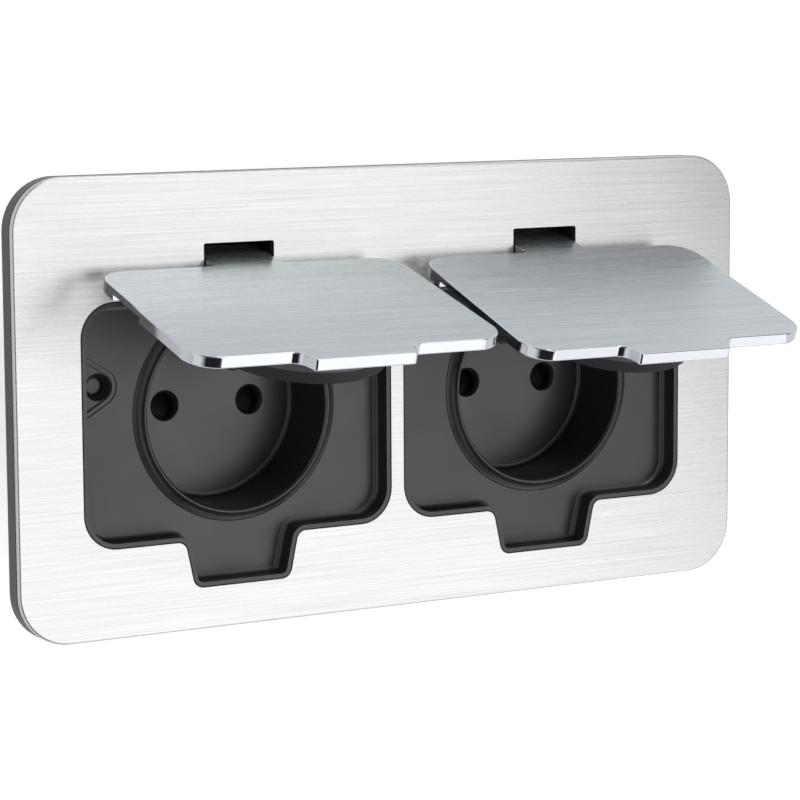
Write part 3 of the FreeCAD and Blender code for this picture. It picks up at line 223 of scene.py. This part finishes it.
def make_floor():
    mesh = bpy.data.meshes.new("studio_floor")
    form = bmesh.new()
    bmesh.ops.create_grid(form, x_segments=1, y_segments=1, size=FLOOR_HALF)
    bmesh.ops.translate(form, verts=form.verts, vec=(0, 0, cad_box[0][2] - FLOOR_GAP))
    form.to_mesh(mesh)
    form.free()
    floor = bpy.data.objects.new("studio_floor", mesh)
    bpy.context.scene.collection.objects.link(floor)
    material = bpy.data.materials.new("pale_floor")
    material.use_nodes = True
    tree = material.node_tree
    tree.nodes.clear()
    matte = add_node(tree, "ShaderNodeBsdfDiffuse", inputs={"Color": srgb("#e6e7e9")})
    path = add_node(tree, "ShaderNodeLightPath")
    mirrored = add_node(tree, "ShaderNodeMath", {"operation": "MULTIPLY"}, {1: FLOOR_GLOW_MIRRORED},
                        {0: path.outputs["Is Glossy Ray"]})
    strength = add_node(tree, "ShaderNodeMath", {"operation": "MULTIPLY_ADD"}, {1: FLOOR_GLOW},
                        {0: path.outputs["Is Camera Ray"], 2: mirrored.outputs[0]})
    glow = add_node(tree, "ShaderNodeEmission", inputs={"Color": (1, 1, 1, 1)},
                    links={"Strength": strength.outputs[0]})
    both = add_node(tree, "ShaderNodeAddShader", links={0: matte.outputs[0], 1: glow.outputs[0]})
    clear = add_node(tree, "ShaderNodeBsdfTransparent")
    side = add_node(tree, "ShaderNodeNewGeometry")
    surface = mixed(tree, side.outputs["Backfacing"], both, clear)
    add_node(tree, "ShaderNodeOutputMaterial", links={"Surface": surface.outputs[0]})
    mesh.materials.append(material)


make_floor()
print("floor at", round(cad_box[0][2] / MM, 2), "mm")

# %% [markdown]
# ## Metals
# The plate and lids are stainless steel, ground with a belt along their length, so the grain is many
# fine scratches that run one way. The real ones are far finer than a pixel. They are drawn coarser, from
# 0.13 to 0.4 mm wide, in streaks of 9 to 38 mm. An image of brushed steel could be laid on instead, but
# a stretched noise has no seams and follows the real size.

# %% Metal materials
def new_material(name):
    material = bpy.data.materials.new(name)
    material.use_nodes = True
    tree = material.node_tree
    tree.nodes.clear()
    shader = add_node(tree, "ShaderNodeBsdfPrincipled")
    add_node(tree, "ShaderNodeOutputMaterial", links={"Surface": shader.outputs[0]})
    return material, tree, shader


def stretched_noise(tree, width, length, detail=3.0):
    """Noise whose grains are width across and length along X, in metres."""
    place = add_node(tree, "ShaderNodeTexCoord")
    scale = (1 / length, 1 / width, 1 / width)
    stretch = add_node(tree, "ShaderNodeMapping", inputs={"Scale": scale},
                       links={"Vector": place.outputs["Object"]})
    return add_node(tree, "ShaderNodeTexNoise",
                    inputs={"Scale": 1.0, "Detail": detail, "Roughness": 0.6},
                    links={"Vector": stretch.outputs[0]})


def ramp(tree, source, low, high, start=0.3, end=0.7):
    """Noise lies mostly between 0.3 and 0.7. This spreads it from low to high."""
    return add_node(tree, "ShaderNodeMapRange", {"clamp": True},
                    {"From Min": start, "From Max": end, "To Min": low, "To Max": high},
                    {"Value": source})


def colour_mix(tree, factor, first, second):
    """Of the mix node's sockets, inputs 6 and 7 and output 2 are the ones for colours."""
    mix = add_node(tree, "ShaderNodeMix", {"data_type": "RGBA"}, {6: srgb(first), 7: srgb(second)},
                   {0: factor})
    return mix.outputs[2]


# Grain spreads a highlight across itself. The lids turn on the X axis, along which the grain runs, so
# the tangent is that axis in every pose and a quarter turn sets the spread across it.
GRAIN_ANISOTROPY = 0.8
QUARTER_TURN = 0.25
FINE_SCRATCH = (0.13 * MM, 9 * MM)
COARSE_SCRATCH = (0.4 * MM, 38 * MM)
STREAK_RANGE = (0.36, 0.64)


def brushed_steel(name, light, dark, rough, groove_depth):
    """Steel ground along X: streaks vary in colour and gloss, and the scratches have a depth."""
    material, tree, shader = new_material(name)
    fine = stretched_noise(tree, *FINE_SCRATCH)
    coarse = stretched_noise(tree, *COARSE_SCRATCH, 2.0)
    half = add_node(tree, "ShaderNodeMath", {"operation": "MULTIPLY"}, {1: 0.5}, {0: coarse.outputs[0]})
    both = add_node(tree, "ShaderNodeMath", {"operation": "MULTIPLY_ADD"}, {1: 0.5},
                    {0: fine.outputs[0], 2: half.outputs[0]})
    streak = ramp(tree, both.outputs[0], 0.0, 1.0, *STREAK_RANGE)
    tree.links.new(colour_mix(tree, streak.outputs["Result"], dark, light), shader.inputs["Base Color"])
    grain = ramp(tree, fine.outputs[0], rough - 0.05, rough + 0.07)
    tree.links.new(grain.outputs["Result"], shader.inputs["Roughness"])
    bump = add_node(tree, "ShaderNodeBump", inputs={"Strength": 1.0, "Distance": groove_depth},
                    links={"Height": both.outputs[0]})
    tree.links.new(bump.outputs[0], shader.inputs["Normal"])
    along_grain = add_node(tree, "ShaderNodeCombineXYZ", inputs={"X": 1.0})
    tree.links.new(along_grain.outputs[0], shader.inputs["Tangent"])
    shader.inputs["Anisotropic"].default_value = GRAIN_ANISOTROPY
    shader.inputs["Anisotropic Rotation"].default_value = QUARTER_TURN
    shader.inputs["Metallic"].default_value = 1.0
    return material


PLATE_STEEL = brushed_steel("stainless_steel_belt_ground", "#dbdbd9", "#c2c3c3", 0.27, 0.008 * MM)
LID_STEEL = brushed_steel("stainless_steel_fine_ground", "#d2d6d8", "#b3b9bc", 0.24, 0.012 * MM)


HANDLING_SIZE = 0.6 * MM


def plain_metal(name, colour, rough, wear=0.05):
    """A plated or drawn metal: even colour, with faint uneven gloss from handling."""
    material, tree, shader = new_material(name)
    noise = stretched_noise(tree, HANDLING_SIZE, HANDLING_SIZE)
    gloss = ramp(tree, noise.outputs[0], rough - wear, rough + wear)
    tree.links.new(gloss.outputs["Result"], shader.inputs["Roughness"])
    shader.inputs["Base Color"].default_value = srgb(colour)
    shader.inputs["Metallic"].default_value = 1.0
    return material


POLISHED_EDGE = plain_metal("stainless_steel_polished_edge", "#cbcdd1", 0.08, 0.02)
NICKEL = plain_metal("brass_nickel_plated", "#cfcac0", 0.2)
ZINC = plain_metal("steel_zinc_plated", "#b9bcc0", 0.34, 0.08)
BRASS = plain_metal("brass_strip_rolled", "#c9a65c", 0.28)
SPRING = plain_metal("spring_steel_strip", "#8f8f93", 0.3)
PIN_STEEL = plain_metal("stainless_pin_drawn", "#c6c8ca", 0.22)
metals = (PLATE_STEEL, LID_STEEL, POLISHED_EDGE, NICKEL, ZINC, BRASS, SPRING, PIN_STEEL)
print("metals", [metal.name for metal in metals])

# %% [markdown]
# ## Plastics and rubber
# The frame and cups are injection moulded in a stiff black plastic against a fine spark-eroded tool,
# which leaves a satin skin with a grain of about a tenth of a millimetre. It is drawn at 0.3 mm, as
# coarse as it needs to be to show. Flow and handling leave it slightly uneven in gloss.

# %% Plastic and rubber materials
SKIN_GRAIN = 0.3 * MM
SKIN_RELIEF = 0.012 * MM
FLOW_SIZE = 14 * MM


def moulded(name, colour, rough, ior=1.55):
    """A moulded or painted skin. The black ones get a higher IOR than they have, for a fuller sheen."""
    material, tree, shader = new_material(name)
    skin = stretched_noise(tree, SKIN_GRAIN, SKIN_GRAIN, 2.0)
    flow = stretched_noise(tree, FLOW_SIZE, FLOW_SIZE, 2.0)
    gloss = ramp(tree, flow.outputs[0], rough - 0.03, rough + 0.04)
    tree.links.new(gloss.outputs["Result"], shader.inputs["Roughness"])
    bump = add_node(tree, "ShaderNodeBump", inputs={"Strength": 0.3, "Distance": SKIN_RELIEF},
                    links={"Height": skin.outputs[0]})
    tree.links.new(bump.outputs[0], shader.inputs["Normal"])
    shader.inputs["Base Color"].default_value = srgb(colour)
    shader.inputs["IOR"].default_value = ior
    return material


BLACK_FRAME = moulded("polycarbonate_moulded_black", "#202022", 0.36, ior=1.68)
BLACK_CUP = moulded("polyamide_moulded_black", "#202023", 0.34, ior=1.7)
BLACK_RUBBER = moulded("epdm_rubber_black", "#1d1d1f", 0.7, ior=1.5)
GREY_SCREW = moulded("steel_grey_enamel", "#5d5f62", 0.45)
CARRIER = moulded("abs_moulded_grey", "#4a4c50", 0.45)
BOX_GREY = moulded("pvc_moulded_dark_grey", "#4b4d50", 0.5)
SHUTTER = moulded("polyoxymethylene_moulded_black", "#161617", 0.4)
COVER = moulded("polyamide_moulded_natural", "#d9d3c2", 0.5)
SLEEVE = moulded("polyoxymethylene_turned_natural", "#dcdad2", 0.4)
FILM = moulded("acrylic_foam_film_black", "#1c1c1e", 0.6)
print("materials", len(bpy.data.materials))

# %% [markdown]
# ## Who wears what
# Left and right pieces of a kind are made alike, so a finish is given to the kind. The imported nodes
# take their materials here, and the softened copies below take them over.

# %% Finishes of the nodes
FINISH = {
    "cover_plate": PLATE_STEEL, "bonding_sheet": FILM, "base_frame": BLACK_FRAME,
    "flange_gasket": BLACK_RUBBER, "back_box": BOX_GREY, "terminal_screws": ZINC,
    "cover_screws": ZINC, "insert_screws": ZINC, "frame_screws": GREY_SCREW, "pin_keepers": BLACK_FRAME,
    "socket_cup": BLACK_CUP, "earth_pin": NICKEL, "earth_strap": BRASS, "live_contact": BRASS,
    "neutral_contact": BRASS, "shutter": SHUTTER, "shutter_spring": SPRING, "contact_cover": COVER,
    "cable_grommet": BLACK_RUBBER, "hinge_pin": PIN_STEEL, "friction_sleeve": SLEEVE,
    "lid": LID_STEEL, "seal_carrier": CARRIER, "seal_ring": BLACK_RUBBER,
}

for name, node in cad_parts.items():
    kind = name.removesuffix("_left").removesuffix("_right")
    node.data.materials.clear()
    node.data.materials.append(FINISH[kind])
print("finishes given to", len(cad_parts), "nodes")

# %% [markdown]
# ## Softened edges
# Moulded and pressed pieces have no knife edges: every edge ends in a round of a tenth of a millimetre
# or so, and it is this round that catches the light. The imported solids have sharp edges where the round
# is too small to matter for their fit, so the plate, the frame, the two cups and the two lids each get a
# copy of their solid with the triangles merged into whole faces and the sharp edges bevelled.

# %% Copies of the solids with softened edges
MERGE_DISTANCE = 0.002 * MM
FLAT_BELOW = math.radians(0.4)
BEVEL_ABOVE = math.radians(32)
SMOOTH_BELOW = math.radians(40)


def soften(node_name, width):
    """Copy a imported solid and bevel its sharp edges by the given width."""
    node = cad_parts[node_name]
    form = bmesh.new()
    form.from_mesh(node.data)
    bmesh.ops.remove_doubles(form, verts=form.verts, dist=MERGE_DISTANCE)
    bmesh.ops.dissolve_limit(form, angle_limit=FLAT_BELOW, verts=form.verts, edges=form.edges)
    solid_skin = BVHTree.FromBMesh(form)
    sharp = [edge for edge in form.edges
             if len(edge.link_faces) == 2 and edge.calc_face_angle(0) > BEVEL_ABOVE]
    bmesh.ops.bevel(form, geom=sharp, offset=width, offset_type="OFFSET", segments=2,
                    profile=0.5, affect="EDGES", material=-1, clamp_overlap=False)
    # Where short facets meet, a bevel can throw a corner clear of the solid, so it is put back on it
    for vert in form.verts:
        nearest, _, _, distance = solid_skin.find_nearest(vert.co)
        if distance > width / 2:
            vert.co = nearest
    for face in form.faces:
        face.smooth = True
    for edge in form.edges:
        edge.smooth = len(edge.link_faces) < 2 or edge.calc_face_angle(0) < SMOOTH_BELOW
    mesh = bpy.data.meshes.new("soft_" + node_name)
    form.to_mesh(mesh)
    form.free()
    mesh.materials.append(node.data.materials[0])
    piece = bpy.data.objects.new("soft_" + node_name, mesh)
    bpy.context.scene.collection.objects.link(piece)
    even = piece.modifiers.new("flat_faces_stay_flat", "WEIGHTED_NORMAL")
    even.mode = "FACE_AREA"
    even.weight = 100
    even.keep_sharp = True
    return piece


def stand_for(piece, node_name, body):
    """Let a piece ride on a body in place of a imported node."""
    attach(piece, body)
    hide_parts(node_name)
    print(piece.name, len(piece.data.polygons), "faces")


FRAME_EDGES = {"cover_plate": 0.12 * MM, "base_frame": 0.07 * MM,
               "socket_cup_left": 0.1 * MM, "socket_cup_right": 0.1 * MM}
for node_name, width in FRAME_EDGES.items():
    stand_for(soften(node_name, width), node_name, "frame")

# %% [markdown]
# ## Lids with polished edges
# The broad faces of a lid are brushed, but its rim was ground and buffed after the blank was cut, so
# it mirrors the room in a bright band. The copy of each lid gets a second material on every face that
# isn't one of the two broad ones. A face is broad when its normal lies along the lid's own normal,
# which follows from the angle at which the lid stands.

# %% Lids
LID_ANGLES = {"lid_left": math.radians(73.93), "lid_right": math.radians(70.22)}
LID_EDGE = 0.08 * MM
BROAD_ABOVE = 0.9999
for name, angle in LID_ANGLES.items():
    piece = soften(name, LID_EDGE)
    piece.data.materials.append(POLISHED_EDGE)
    upward = Vector((0, math.sin(angle), math.cos(angle)))
    for face in piece.data.polygons:
        if abs(face.normal.dot(upward)) < BROAD_ABOVE:
            face.material_index = 1
    stand_for(piece, name, name)
